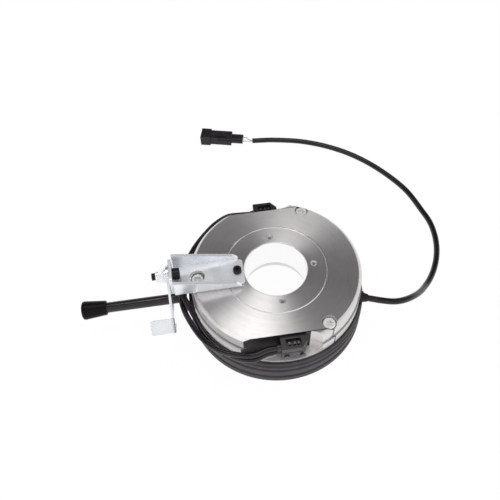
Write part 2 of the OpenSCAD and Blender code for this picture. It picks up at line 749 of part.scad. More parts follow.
// The opening of the latch's hook: it takes the rod at rest and raised, and its edges are arcs
// about the bolt, so the hook swings over the rod
module latch_opening() {
    rod_at = latch_bolt_z + lever_drop;
    lift = (latch_face_x + latch_t - fork_pin_x) * tan(lever_turn);
    for (u = [rod_at - lift, rod_at]) translate([u, 0]) circle(r = rod_notch_r);
    translate([rod_at - lift, 0]) square([lift, rod_notch_r]);
    intersection() {
        difference() {
            circle(r = rod_at + rod_notch_r);
            circle(r = rod_at - lift - rod_notch_r);
        }
        translate([0, -latch_w]) square([rod_at + latch_w, latch_w]);
    }
}

// The latch seen flat, eye at the origin, hanging along +X, its hook open towards -Y
module latch_outline() {
    hook_y = latch_w - latch_back;
    difference() {
        union() {
            circle(d = latch_eye_d);
            polygon([[-2, latch_eye_d / 2 - 0.3], [14, latch_back - 0.5], [20, latch_back],
                     [latch_len - 2, latch_back], [latch_len, latch_back - 2], [latch_len, -3],
                     [latch_len - 2.5, -hook_y], [latch_len - 22, -hook_y],
                     [2, -latch_eye_d / 2 + 0.3]]);
        }
        circle(d = latch_bolt_d + 2 * fit_gap);
        latch_opening();
        translate([tab_from - 0.6, latch_back - tab_bend_r]) square([tab_w + 1.2, latch_back]);
    }
}

// The thumb tab, bent out of the latch's back edge
module latch_tab() {
    corner_r = 2;
    reach = latch_t + tab_len;
    translate([tab_from, latch_back, 0]) rotate([90, 0, 0]) linear_extrude(latch_t) {
        translate([0, tab_bend_r]) square([tab_w, reach - tab_bend_r - corner_r]);
        translate([corner_r, tab_bend_r]) square([tab_w - 2 * corner_r, reach - tab_bend_r]);
        for (x = [corner_r, tab_w - corner_r]) translate([x, reach - corner_r]) circle(r = corner_r);
    }
    intersection() {
        translate([tab_from, latch_back - tab_bend_r, tab_bend_r]) rotate([0, 90, 0])
            washer(2 * tab_bend_r, 2 * (tab_bend_r - latch_t), tab_w);
        translate([tab_from, latch_back - tab_bend_r - tiny, 0])
            cube([tab_w, tab_bend_r + tiny, tab_bend_r + tiny]);
    }
}

module latch_plate() {
    color([0.86, 0.87, 0.9])
    translate([-latch_face_x, 0, latch_z]) rotate([latch_rest - 90, 0, 0]) rotate([0, 90, 180]) {
        linear_extrude(latch_t) latch_outline();
        latch_tab();
    }
}

module latch_washer() {
    color([0.86, 0.87, 0.9])
    translate([-washer_face_x, 0, latch_z]) rotate([0, -90, 0])
        washer(12, latch_bolt_d + 2 * fit_gap, washer_t);
}

module latch_nut() {
    color([0.88, 0.89, 0.92])
    translate([-washer_face_x - washer_t, 0, latch_z]) rotate([0, -90, 0])
    difference() {
        union() {
            intersection() {
                cylinder(d = nut_af / cos(30), h = nut_hex_h, $fn = 6);
                cylinder(d1 = nut_af - 0.6, d2 = nut_af - 0.6 + 2 * nut_hex_h, h = nut_hex_h);
            }
            translate([0, 0, nut_hex_h - tiny])
                cylinder(d = nut_af - 0.8, h = nut_h - nut_hex_h - 0.8 + tiny);
            translate([0, 0, nut_h - 0.8]) cylinder(d1 = nut_af - 0.8, d2 = nut_af - 2.4, h = 0.8);
        }
        translate([0, 0, -cut]) cylinder(d = latch_bolt_d + 2 * fit_gap, h = nut_h + 2 * cut);
        translate([0, 0, nut_hex_h]) cylinder(d = latch_bolt_d + 1.4, h = nut_h - nut_hex_h - 0.6);
    }
}

module latch_nut_insert() {
    color([0.3, 0.45, 0.75])
    translate([-washer_face_x - washer_t - nut_hex_h, 0, latch_z]) rotate([0, -90, 0])
        washer(latch_bolt_d + 1.4, latch_bolt_d + 2 * fit_gap, nut_h - nut_hex_h - 0.6);
}

// One arm of the fork, seen from the side, with the claw that lifts the armature plate
module fork_arm_outline() {
    foot_top = armature_z - 0.3 - lever_z;
    difference() {
        union() {
            translate([-fork_pin_x, 0]) circle(d = fork_eye_d);
            polygon([[-fork_pin_x, -fork_eye_d / 2], [-fork_pin_x, fork_eye_d / 2],
                     [-claw_inner_x, fork_h / 2], [-fork_heel_x, fork_h / 2],
                     [-fork_heel_x, -fork_h / 2], [-claw_inner_x, -fork_h / 2]]);
            translate([-claw_inner_x - 2.6, foot_top - 2]) square([2.6, 2 - foot_top]);
            translate([-claw_inner_x - 2.6, foot_top - 2]) square([5.2, 2]);
        }
        translate([-fork_pin_x, 0]) circle(d = fork_pin_d + 2 * fit_gap);
    }
}

module release_fork() {
    color([0.13, 0.13, 0.14])
    translate([0, 0, lever_z])
    difference() {
        union() {
            for (y = [-fork_w / 2 + fork_arm, fork_w / 2]) translate([0, y, 0]) rotate([90, 0, 0])
                linear_extrude(fork_arm) fork_arm_outline();
            translate([-fork_heel_x, -fork_w / 2, -fork_h / 2]) cube([4, fork_w, fork_h]);
            translate([-fork_heel_x - 1.5, 0, 0]) rotate([0, 90, 0]) cylinder(d = fork_hub_d, h = 5);
        }
        translate([-fork_heel_x - 1.5 - cut, 0, 0]) rotate([0, 90, 0])
            cylinder(d = rod_neck_d + 2 * fit_gap, h = 5 + 2 * cut);
    }
}

// Two pins, pressed into the slot's side walls, carry the fork's arms
module fork_pins() {
    color([0.7, 0.7, 0.7])
    for (side = [-1, 1]) on_side(side) translate([-fork_pin_x, fork_inner + 0.2, lever_z])
        rotate([-90, 0, 0]) cylinder(d = fork_pin_d, h = slot_w / 2 + fork_pin_seat - fork_inner - 0.2);
}

module lever_rod() {
    rod_end_x = lever_reach - grip_len + grip_bore;
    shoulder_x = fork_heel_x + 1.5;
    color([0.1, 0.1, 0.11])
    translate([0, 0, lever_z]) rotate([0, -90, 0]) {
        translate([0, 0, shoulder_x - 5]) cylinder(d = rod_neck_d, h = 5 + tiny);
        translate([0, 0, shoulder_x]) cylinder(d = rod_d, h = rod_end_x - shoulder_x);
    }
}

module lever_grip() {
    round_r = 2;
    color([0.09, 0.08, 0.09])
    translate([-lever_reach + grip_len, 0, lever_z]) rotate([0, -90, 0])
    difference() {
        rotate_extrude()
            polygon([[0, 0], [grip_small_d / 2 - 0.4, 0], [grip_small_d / 2, 0.4],
                     [grip_large_d / 2, grip_len - round_r - 0.6], [grip_large_d / 2 - 0.5, grip_len - 1],
                     [grip_large_d / 2 - round_r, grip_len - 0.2], [grip_large_d / 2 - round_r - 1, grip_len],
                     [0, grip_len]]);
        translate([0, 0, -cut]) cylinder(d = rod_d + 2 * fit_gap, h = grip_bore + cut + fit_gap);
    }
}

// A switch housing on the rear flat, with a boot for each lead at the given heights
module switch_housing(x, boot_heights) {
    half = switch_len / 2;
    color([0.13, 0.13, 0.14])
    difference() {
        translate([x, switch_y, switch_bottom_z]) difference() {
            linear_extrude(switch_h)
                polygon([[-half, 0], [half, 0], [half, switch_depth - 6], [half - 5, switch_depth],
                         [-half, switch_depth]]);
            translate([-half + 4, 2.6, switch_h - 4]) cube([12, switch_depth - 5.2, 4 + cut]);
            translate([-half - cut, switch_depth - 0.8, switch_h - 6.6])
                cube([switch_len + 2 * cut, 0.8 + cut, 0.8]);
        }
        translate([x, plunger_y, switch_bottom_z - cut])
            cylinder(d = plunger_d + 2 * fit_gap, h = 5 + cut);
        for (dx = [-1, 1])
            translate([x + dx * switch_len * 0.3, switch_y + switch_depth + cut, switch_screw_z])
                rotate([90, 0, 0]) cylinder(d = switch_screw_d + 2 * fit_gap, h = switch_depth + 2 * cut);
    }
    color([0.13, 0.13, 0.14])
    for (z = boot_heights) translate([x - half + tiny, switch_y + boot_y, z]) rotate([0, -90, 0])
        cylinder(d1 = switch_lead_d + 1.8, d2 = switch_lead_d + 0.8, h = boot_len + tiny);
}

module switch_plunger(x) {
    color([0.75, 0.2, 0.15])
    translate([x, plunger_y, plunger_z]) cylinder(d = plunger_d, h = plunger_out + 3.6);
}

module switch_terminals(x) {
    color([0.8, 0.78, 0.7])
    for (dx = [-3, 1, 4]) translate([x - switch_len / 2 + 9 + dx, switch_y + 4.6, switch_top_z - 4])
        cube([1.6, 2.4, 3]);
}

module switch_screws(x) {
    head_h = 1.2;
    color([0.8, 0.8, 0.82])
    for (dx = [-1, 1]) translate([x + dx * switch_len * 0.3, switch_y + switch_depth, switch_screw_z])
        rotate([-90, 0, 0]) difference() {
            union() {
                cylinder(d = 4.4, h = head_h);
                translate([0, 0, -switch_depth - switch_grip])
                    cylinder(d = switch_screw_d, h = switch_depth + switch_grip + tiny);
            }
            translate([0, 0, head_h - 0.5]) block(0.7, 5, 1);
        }
}

module front_switch_housing() { on_side(-1) switch_housing(front_switch_x, [upper_boot_z, lower_boot_z]); }
module front_switch_plunger() { on_side(-1) switch_plunger(front_switch_x); }
module front_switch_terminals() { on_side(-1) switch_terminals(front_switch_x); }
module front_switch_screws() { on_side(-1) switch_screws(front_switch_x); }
module rear_switch_housing() { on_side(1) switch_housing(rear_switch_x, [upper_boot_z - 0.5]); }
module rear_switch_plunger() { on_side(1) switch_plunger(rear_switch_x); }
module rear_switch_terminals() { on_side(1) switch_terminals(rear_switch_x); }
module rear_switch_screws() { on_side(1) switch_screws(rear_switch_x); }

module switch_link_lead() {
    color([0.09, 0.08, 0.09]) tube(link_route, switch_lead_d, 44, 10);
}

module switch_lead() {
    color([0.09, 0.08, 0.09]) tube(switch_lead_route, switch_lead_d, 22, 10);
}

module lead_gland() {
    color([0.11, 0.1, 0.11])
    rotate(gland_angle) translate([body_d / 2 - gland_neck + fit_gap, 0, gland_z]) rotate([0, 90, 0]) {
        cylinder(d = gland_neck_d, h = gland_neck);
        translate([0, 0, gland_neck]) cylinder(d = gland_collar_d, h = gland_collar_h);
        translate([0, 0, gland_neck + gland_collar_h])
            cylinder(d1 = gland_neck_d + 0.6, d2 = lead_d + 1,
                     h = gland_out - gland_collar_h - fit_gap);
    }
}

module main_lead() {
    color([0.12, 0.11, 0.12]) tube(main_route, lead_d, 52, 10);
}

// Puts its children on the plug's axis, with x 0 at the wire end
module on_plug() {
    translate([plug_at[0], plug_at[1], mouth_h / 2]) rotate(plug_turn) children();
}

module plug_wires() {
    end = main_route[len(main_route) - 1];
    ahead = [cos(plug_turn), sin(plug_turn), 0];
    across = [sin(plug_turn), -cos(plug_turn), 0];
    color([0.85, 0.85, 0.83])
    for (side = [-1, 1]) {
        far = plug_at + [0, 0, mouth_h / 2] + side * across * seal_pitch / 2 - 2 * tiny * ahead;
        tube([end + [0, side * wire_d * 0.6, 0], end + [-3, side * wire_d * 0.8 + 0.2, 0.4],
              far - 3 * ahead, far], wire_d, 13, 8);
    }
}

module plug_housing() {
    main_len = plug_len - mouth_len - plug_rear_len;
    main_w = mouth_w - 2;
    main_h = mouth_h - 2;
    rear_w = seal_pitch + 5.6;
    rear_h = mouth_h - 4.4;
    color([0.13, 0.12, 0.13])
    on_plug() difference() {
        union() {
            translate([plug_rear_len / 2, 0, -rear_h / 2])
                block(plug_rear_len + tiny, rear_w - rear_h, rear_h);
            for (side = [-1, 1]) translate([0, side * (rear_w - rear_h) / 2, 0]) rotate([0, 90, 0])
                cylinder(d = rear_h, h = plug_rear_len + tiny);
            translate([plug_rear_len + main_len / 2, 0, -main_h / 2]) block(main_len, main_w, main_h);
            translate([plug_len - mouth_len / 2, 0, -mouth_h / 2]) block(mouth_len, mouth_w, mouth_h);
            translate([plug_rear_len, main_w / 2 - tiny, -1.6]) cube([main_len - 8, 0.8, 3.2]);
            translate([plug_rear_len + 6, -2.2, main_h / 2 - tiny]) cube([main_len - 6, 4.4, 0.9]);
        }
        translate([plug_len - mouth_cavity, -mouth_w / 2 + 1.4, -mouth_h / 2 + 1.4])
            cube([mouth_cavity + cut, mouth_w - 2.8, mouth_h - 2.8]);
        for (side = [-1, 1]) translate([-cut, side * seal_pitch / 2, 0]) rotate([0, 90, 0])
            cylinder(d = seal_d + 2 * fit_gap, h = 3 + cut);
    }
}

module plug_lock() {
    color([0.2, 0.19, 0.2])
    on_plug() translate([plug_len - mouth_cavity + fit_gap, 0, 0]) difference() {
        translate([0, -mouth_w / 2 + 2.4, -mouth_h / 2 + 2.4]) cube([4, mouth_w - 4.8, mouth_h - 4.8]);
        for (side = [-1, 1]) translate([-cut, side * seal_pitch / 2, 0])
            rotate([0, 90, 0]) cylinder(d = 1.9, h = 4 + 2 * cut);
    }
}

module plug_seals() {
    color([0.75, 0.72, 0.6])
    on_plug() for (side = [-1, 1]) translate([0, side * seal_pitch / 2, 0]) rotate([0, 90, 0])
        cylinder(d = seal_d, h = 3);
}

module plug_contacts() {
    color([0.8, 0.76, 0.6])
    on_plug() for (side = [-1, 1]) translate([plug_len - mouth_cavity + fit_gap, side * seal_pitch / 2, 0])
        rotate([0, 90, 0]) cylinder(d = 1.5, h = mouth_cavity - contact_setback);
}

magnet_body();
coil();
pressure_springs();
armature_plate();
switch_adjusters();
friction_disc();
friction_linings();
flange_plate();
dust_ring();
mounting_screws();
spacer_sleeves();
lever_bracket();
bracket_screw();
latch_bolt();
latch_plate();
latch_washer();
latch_nut();
latch_nut_insert();
release_fork();
fork_pins();
lever_rod();
lever_grip();
front_switch_housing();
front_switch_plunger();
front_switch_terminals();
front_switch_screws();
rear_switch_housing();
rear_switch_plunger();
rear_switch_terminals();
rear_switch_screws();
switch_link_lead();
switch_lead();
lead_gland();
main_lead();
plug_wires();
plug_housing();
plug_lock();
plug_seals();
plug_contacts();
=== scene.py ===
from math import radians

import bpy
from mathutils import Matrix, Vector


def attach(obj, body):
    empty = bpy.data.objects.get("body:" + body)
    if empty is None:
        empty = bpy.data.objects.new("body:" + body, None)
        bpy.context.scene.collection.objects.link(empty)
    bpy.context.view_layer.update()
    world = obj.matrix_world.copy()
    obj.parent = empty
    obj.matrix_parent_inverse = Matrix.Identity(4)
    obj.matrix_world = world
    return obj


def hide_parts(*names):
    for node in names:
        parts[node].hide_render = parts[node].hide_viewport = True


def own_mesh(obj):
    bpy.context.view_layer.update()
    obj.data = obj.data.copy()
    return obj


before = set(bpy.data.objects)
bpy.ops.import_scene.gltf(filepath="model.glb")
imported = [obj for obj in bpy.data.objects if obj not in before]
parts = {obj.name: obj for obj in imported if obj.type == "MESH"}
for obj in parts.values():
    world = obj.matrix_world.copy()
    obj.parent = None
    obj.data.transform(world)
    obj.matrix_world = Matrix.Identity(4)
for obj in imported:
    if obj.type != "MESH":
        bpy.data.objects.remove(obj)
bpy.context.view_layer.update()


# Camera
# The photograph looks down on the brake from the front, a little to its left, through a short
# telephoto lens, and is tipped slightly.
camera_place = (-0.04898, -0.2593, 0.45256)
camera_turn, camera_tilt, camera_roll = radians(6.15), radians(54.54), radians(-2.487)
camera = bpy.data.objects.new("camera", bpy.data.cameras.new("camera"))
camera.data.lens = 40.82
camera.data.clip_start = 0.01
camera.matrix_world = (Matrix.Translation(camera_place) @ Matrix.Rotation(-camera_turn, 4, "Z")
                       @ Matrix.Rotation(radians(90) - camera_tilt, 4, "X")
                       @ Matrix.Rotation(camera_roll, 4, "Z"))
bpy.context.scene.collection.objects.link(camera)
bpy.context.scene.camera = camera
bpy.context.scene.view_settings.view_transform = "Standard"


# Magnet body
# A steel ring turned on a lathe, with the winding and the springs inside. Its top face and its
# sides keep the fine circular marks of the tool, the bore is honed, and the edges are broken.
steel_light = (0.80, 0.78, 0.77, 1)
steel_dark = (0.62, 0.595, 0.605, 1)
# Light steel for the worn broken edges, also used as a painted highlight in the hole mouths and along
# the recess rim.
steel_wear_and_highlight = (0.94, 0.93, 0.92, 1)
steel_honed = (0.98, 0.98, 0.985, 1)
# The flats are painted dark, for the shade and the dark reflections of the leads in front of them.
flats_painted_dark = (0.02, 0.016, 0.019, 1)
# Painted shade for the groove round the body's side.
groove_shadow_colour = (0.06, 0.055, 0.055, 1)
groove_shade = 0.25
body_edge = 0.0003
cloud_size = 0.012
chamfer_depth = 0.0006
turning_pitch = 0.00045
turning_depth = 0.000004
body_streak = 0.85
quarter_turn = 0.25
face_rough = 0.29, 0.38
zone_rough = {"Rim Highlight": 0.14, "Flats": 0.3, "Bore": 0.14}
face_metal, side_metal = 0.93, 0.6


def add(tree, kind, inputs=None, **settings):
    """A node in a tree. An input is a value, or the output socket that feeds it."""
    node = tree.nodes.new(kind)
    for name, value in settings.items():
        setattr(node, name, value)
    for name, value in (inputs or {}).items():
        if isinstance(value, bpy.types.NodeSocket):
            tree.links.new(value, node.inputs[name])
        else:
            node.inputs[name].default_value = value
    return node


def start_group(name, inputs, outputs):
    """An empty node group with named sockets, and its two end nodes."""
    tree = bpy.data.node_groups.new(name, "ShaderNodeTree")
    for label, value in inputs.items():
        socket = tree.interface.new_socket(label, in_out="INPUT", socket_type="NodeSocketFloat")
        socket.default_value = value
    for label, kind in outputs.items():
        tree.interface.new_socket(label, in_out="OUTPUT", socket_type=kind)
    return tree, tree.nodes.new("NodeGroupInput").outputs, tree.nodes.new("NodeGroupOutput")


def build_grain():
    """Cloudy variation of a surface, at a size in metres, from 0 to 1."""
    darkest, brightest = 0.12, 0.88
    tree, given, result = start_group("grain", {"Size": 0.001, "Roughness": 0.55},
                                      {"Value": "NodeSocketFloat"})
    place = add(tree, "ShaderNodeTexCoord").outputs["Object"]
    scale = add(tree, "ShaderNodeMath", {0: 1.0, 1: given["Size"]}, operation="DIVIDE")
    noise = add(tree, "ShaderNodeTexNoise",
                {"Vector": place, "Scale": scale.outputs[0], "Detail": 4.0,
                 "Roughness": given["Roughness"]})
    spread = add(tree, "ShaderNodeMapRange",
                 {"Value": noise.outputs[0], "From Min": darkest, "From Max": brightest},
                 interpolation_type="SMOOTHSTEP")
    tree.links.new(spread.outputs[0], result.inputs["Value"])
    return tree


def build_soft_edges():
    """Normals that round every sharp edge, and a mask of the worn strip along it."""
    flat_match, worn_match = 0.995, 0.85
    tree, given, result = start_group("soft edges", {"Radius": 0.0003},
                                      {"Normal": "NodeSocketVector", "Wear": "NodeSocketFloat"})
    bevel = add(tree, "ShaderNodeBevel", {"Radius": given["Radius"]}, samples=6)
    facing = add(tree, "ShaderNodeNewGeometry").outputs["Normal"]
    match = add(tree, "ShaderNodeVectorMath", {0: bevel.outputs[0], 1: facing},
                operation="DOT_PRODUCT")
    wear = add(tree, "ShaderNodeMapRange",
               {"Value": match.outputs["Value"], "From Min": flat_match, "From Max": worn_match})
    tree.links.new(bevel.outputs[0], result.inputs["Normal"])
    tree.links.new(wear.outputs[0], result.inputs["Wear"])
    return tree


def build_turning():
    """Circular tool marks about the brake axis: fine lines, and broader bands of lines."""
    bands_per_line = 0.14
    tree, given, result = start_group("turning marks", {"Pitch": 0.0004},
                                      {"Lines": "NodeSocketFloat", "Bands": "NodeSocketFloat"})
    place = add(tree, "ShaderNodeTexCoord").outputs["Object"]
    flat = add(tree, "ShaderNodeVectorMath", {0: place, 1: (1, 1, 0)}, operation="MULTIPLY")
    radius = add(tree, "ShaderNodeVectorMath", {0: flat.outputs[0]}, operation="LENGTH")
    height = add(tree, "ShaderNodeSeparateXYZ", {0: place}).outputs["Z"]
    along = add(tree, "ShaderNodeMath", {0: radius.outputs["Value"], 1: height}, operation="ADD")
    lines = add(tree, "ShaderNodeMath", {0: along.outputs[0], 1: given["Pitch"]}, operation="DIVIDE")
    bands = add(tree, "ShaderNodeMath", {0: lines.outputs[0], 1: bands_per_line},
                operation="MULTIPLY")
    for count, socket in ((lines, "Lines"), (bands, "Bands")):
        noise = add(tree, "ShaderNodeTexNoise", {"W": count.outputs[0], "Scale": 1.0, "Detail": 2.0},
                    noise_dimensions="1D")
        tree.links.new(noise.outputs[0], result.inputs[socket])
    return tree


grain = build_grain()
soft_edges = build_soft_edges()
turning_marks = build_turning()


def use(tree, group, **values):
    """A node group placed in a material, with this finish's own values."""
    node = tree.nodes.new("ShaderNodeGroup")
    node.node_tree = group
    for name, value in values.items():
        node.inputs[name].default_value = value
    return node.outputs


def start_finish(name, **constants):
    """A new material with one Principled shader, whose constants are set on its own sockets."""
    material = bpy.data.materials.new(name)
    material.use_nodes = True
    tree = material.node_tree
    shader = tree.nodes["Principled BSDF"]
    for label, value in constants.items():
        shader.inputs[label.replace("_", " ")].default_value = value
    return material, tree, shader.inputs


def blend_colour(tree, mask, first, second):
    """A colour that changes from the first to the second with a mask."""
    mix = add(tree, "ShaderNodeMix", data_type="RGBA")
    for socket, value in ((0, mask), (6, first), (7, second)):
        if isinstance(value, bpy.types.NodeSocket):
            tree.links.new(value, mix.inputs[socket])
        else:
            mix.inputs[socket].default_value = value
    return mix.outputs[2]


def between(tree, value, low, high):
    """A value from 0 to 1 spread between two limits."""
    spread = add(tree, "ShaderNodeMapRange", {"Value": value, "To Min": low, "To Max": high})
    return spread.outputs[0]


def relief(tree, height, depth, normal):
    """Bumps of a depth in metres over the rounded edges."""
    return add(tree, "ShaderNodeBump", {"Height": height, "Distance": depth, "Strength": 1.0,
                                       "Normal": normal}).outputs[0]


def ring_tangent(tree):
    """The direction round the brake axis, along the tool marks."""
    place = add(tree, "ShaderNodeTexCoord").outputs["Object"]
    around = add(tree, "ShaderNodeVectorMath", {0: (0, 0, 1), 1: place}, operation="CROSS_PRODUCT")
    unit = add(tree, "ShaderNodeVectorMath", {0: around.outputs[0]}, operation="NORMALIZE")
    return unit.outputs[0]


def turned_tone(tree, marks, light, dark):
    """The bands of tool marks, broken up by clouds, between a light and a dark metal."""
    clouds = use(tree, grain, Size=cloud_size)
    tone = add(tree, "ShaderNodeMath", {0: marks["Bands"], 1: clouds["Value"]}, operation="MULTIPLY")
    return blend_colour(tree, tone.outputs[0], light, dark)


def dress(material, *names):
    """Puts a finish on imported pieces."""
    for name in names:
        parts[name].material_slots[0].material = material


def build_body_zones():
    """Masks of the bore, flats, groove, hole mouths and sides, and the recess with a thin line along
    its rim, where a highlight is painted.
    """
    bore_margin, flat_margin, groove_floor, rim_highlight_gain = 0.0002, 0.0003, 0.06, 6.0
    tree, given, result = start_group(
        "body zones", {"Bore Radius": 0.0265, "Flat Distance": 0.0625, "Hole Circle": 0.0324,
                       "Hole Radius": 0.00165, "Mouth Width": 0.0012, "Recess Radius": 0.0425,
                       "Chamfer Width": 0.0012, "Side Height": 0.055, "Groove Height": 0.0412,
                       "Groove Half": 0.0009},
        dict.fromkeys(("Bore", "Flats", "Groove", "Mouth Chamfers And Glints", "Recess", "Rim Highlight", "Sides"),
                      "NodeSocketFloat"))

    def solve(operation, first, second=0.0):
        return add(tree, "ShaderNodeMath", {0: first, 1: second}, operation=operation).outputs[0]

    place = add(tree, "ShaderNodeTexCoord").outputs["Object"]
    axes = add(tree, "ShaderNodeSeparateXYZ", {0: place}).outputs
    aside = solve("ABSOLUTE", axes["Y"])
    corner = add(tree, "ShaderNodeCombineXYZ", {"X": axes["X"], "Y": aside}).outputs[0]
    radius = add(tree, "ShaderNodeVectorMath", {0: corner}, operation="LENGTH").outputs["Value"]
    tree.links.new(solve("LESS_THAN", radius, solve("ADD", given["Bore Radius"], bore_margin)),
                   result.inputs["Bore"])
    tree.links.new(solve("LESS_THAN", axes["Z"], given["Side Height"]), result.inputs["Sides"])
    flats = add(tree, "ShaderNodeMath", {0: aside, 1: given["Flat Distance"], 2: flat_margin},
                operation="COMPARE")
    tree.links.new(flats.outputs[0], result.inputs["Flats"])
    groove = add(tree, "ShaderNodeMath", {0: axes["Z"], 1: given["Groove Height"],
                                          2: given["Groove Half"]}, operation="COMPARE")
    outside = solve("GREATER_THAN", radius, groove_floor)
    tree.links.new(solve("MULTIPLY", groove.outputs[0], outside), result.inputs["Groove"])
    gaps = []
    for axis in ("X", "Y"):
        centre = add(tree, "ShaderNodeCombineXYZ", {axis: given["Hole Circle"]}).outputs[0]
        gap = add(tree, "ShaderNodeVectorMath", {0: corner, 1: centre}, operation="DISTANCE")
        gaps.append(gap.outputs["Value"])
    # The mouths round the accessory holes give the countersink relief, and are also where a highlight
    # is painted.
    inside = solve("SUBTRACT", solve("MINIMUM", gaps[0], gaps[1]), given["Hole Radius"])
    mouths = add(tree, "ShaderNodeMapRange", {"Value": inside, "From Max": given["Mouth Width"],
                                             "To Min": 1.0, "To Max": 0.0})
    tree.links.new(mouths.outputs[0], result.inputs["Mouth Chamfers And Glints"])
    past = solve("SUBTRACT", radius, given["Recess Radius"])
    step = add(tree, "ShaderNodeMapRange", {"Value": past, "From Max": given["Chamfer Width"]})
    tree.links.new(step.outputs[0], result.inputs["Recess"])
    # A thin line along the middle of the recess chamfer, where a highlight is painted.
    rim = solve("MULTIPLY", step.outputs[0], solve("SUBTRACT", 1.0, step.outputs[0]))
    tree.links.new(solve("MINIMUM", solve("MULTIPLY", rim, rim_highlight_gain), 1.0), result.inputs["Rim Highlight"])
    return tree


def body_finish():
    """Bright turned steel, with a honed bore, countersunk accessory holes, flats painted dark for
    their shade and dark reflections, painted shade in the groove, and a painted highlight in the hole
    mouths and along the recess rim.
    """
    material, tree, shader = start_finish("turned steel", Anisotropic=body_streak,
                                          Anisotropic_Rotation=quarter_turn)
    marks = use(tree, turning_marks, Pitch=turning_pitch)
    edges = use(tree, soft_edges, Radius=body_edge)
    zones = use(tree, build_body_zones())
    steel = turned_tone(tree, marks, steel_light, steel_dark)
    # Wear lightens the broken edges; the hole mouths and the recess rim get a painted highlight in the
    # same light colour.
    for mask in (edges["Wear"], zones["Mouth Chamfers And Glints"], zones["Rim Highlight"]):
        steel = blend_colour(tree, mask, steel, steel_wear_and_highlight)
    # Painted shade in the groove.
    shade = between(tree, zones["Groove"], 0.0, groove_shade)
    steel = blend_colour(tree, shade, steel, groove_shadow_colour)
    # The flats painted dark, as shade and dark reflection.
    steel = blend_colour(tree, zones["Flats"], steel, flats_painted_dark)
    tree.links.new(blend_colour(tree, zones["Bore"], steel, steel_honed), shader["Base Color"])
    rough = between(tree, marks["Bands"], *face_rough)
    for zone, value in zone_rough.items():
        rough = add(tree, "ShaderNodeMix", {0: zones[zone], 2: rough, 3: value}).outputs[0]
    tree.links.new(rough, shader["Roughness"])
    metal = between(tree, zones["Sides"], face_metal, side_metal)
    metal = add(tree, "ShaderNodeMix", {0: zones["Bore"], 2: metal, 3: 1.0}).outputs[0]
    tree.links.new(metal, shader["Metallic"])
    sunk = add(tree, "ShaderNodeMath", {0: zones["Recess"], 1: zones["Mouth Chamfers And Glints"]}, operation="SUBTRACT")
    chamfers = relief(tree, sunk.outputs[0], chamfer_depth, edges["Normal"])
    milled = add(tree, "ShaderNodeMath", {0: 1.0, 1: zones["Flats"]}, operation="SUBTRACT")
    lines = add(tree, "ShaderNodeMath", {0: marks["Lines"], 1: milled.outputs[0]},
                operation="MULTIPLY")
    tree.links.new(relief(tree, lines.outputs[0], turning_depth, chamfers), shader["Normal"])
    tree.links.new(ring_tangent(tree), shader["Tangent"])
    return material


dress(body_finish(), "magnet_body")


# Winding and pressure springs
# The winding is enamelled copper wire in the body's pocket. Six drawn wire springs stand in their
# holes and push the armature plate down when there is no current.
copper_light, copper_dark = (0.62, 0.30, 0.14, 1), (0.36, 0.15, 0.06, 1)
wire_light, wire_dark = (0.45, 0.45, 0.47, 1), (0.3, 0.3, 0.32, 1)
wire_pitch = 0.0009
wire_relief = 0.00015
winding_edge = 0.0003
winding_rough = 0.28, 0.42
cloud_ratio = 14
plain_spread = -0.04, 0.06


def plain_finish(name, colour, second, rough, metal=0.0, size=0.001, depth=0.00001, edge=0.0002,
                 worn=None, **constants):
    """A cloudy two-tone finish with fine grain and rounded, slightly worn edges."""
    material, tree, shader = start_finish(name, Metallic=metal, **constants)
    fine = use(tree, grain, Size=size)
    broad = use(tree, grain, Size=size * cloud_ratio, Roughness=0.4)
    edges = use(tree, soft_edges, Radius=edge)
    tone = blend_colour(tree, broad["Value"], colour, second)
    if worn:
        tone = blend_colour(tree, edges["Wear"], tone, worn)
    tree.links.new(tone, shader["Base Color"])
    low, high = [rough + change for change in plain_spread]
    tree.links.new(between(tree, broad["Value"], low, high), shader["Roughness"])
    tree.links.new(relief(tree, fine["Value"], depth, edges["Normal"]), shader["Normal"])
    return material


def winding_finish():
    """Layers of enamelled wire, seen as fine rings."""
    material, tree, shader = start_finish("enamelled copper", Metallic=0.6, Coat_Weight=0.4)
    marks = use(tree, turning_marks, Pitch=wire_pitch)
    edges = use(tree, soft_edges, Radius=winding_edge)
    copper = blend_colour(tree, marks["Lines"], copper_dark, copper_light)
    tree.links.new(copper, shader["Base Color"])
    tree.links.new(between(tree, marks["Bands"], *winding_rough), shader["Roughness"])
    tree.links.new(relief(tree, marks["Lines"], wire_relief, edges["Normal"]), shader["Normal"])
    return material


def stand_springs():
    """The springs, as a copy of their packed mesh with a drawn wire finish, in place of the packed
    piece.
    """
    mesh = parts["pressure_springs"].data.copy()
    springs = bpy.data.objects.new("spring_set", mesh)
    bpy.context.scene.collection.objects.link(springs)
    springs.material_slots[0].material = plain_finish(
        "drawn spring wire", wire_light, wire_dark, rough=0.32, metal=1.0, size=0.0006)
    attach(springs, "brake")
    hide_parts("pressure_springs")
    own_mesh(springs)


dress(winding_finish(), "coil")
stand_springs()


# Armature plate and switch adjusters
# The plate is a ground steel disc that is lifted by the fork and pulled by the winding. Two plated
# hexagon studs in it press the switches' plungers.
turned_edge = 0.00025
turned_worn = (0.8, 0.79, 0.78, 1)
turned_rough = 0.29, 0.41


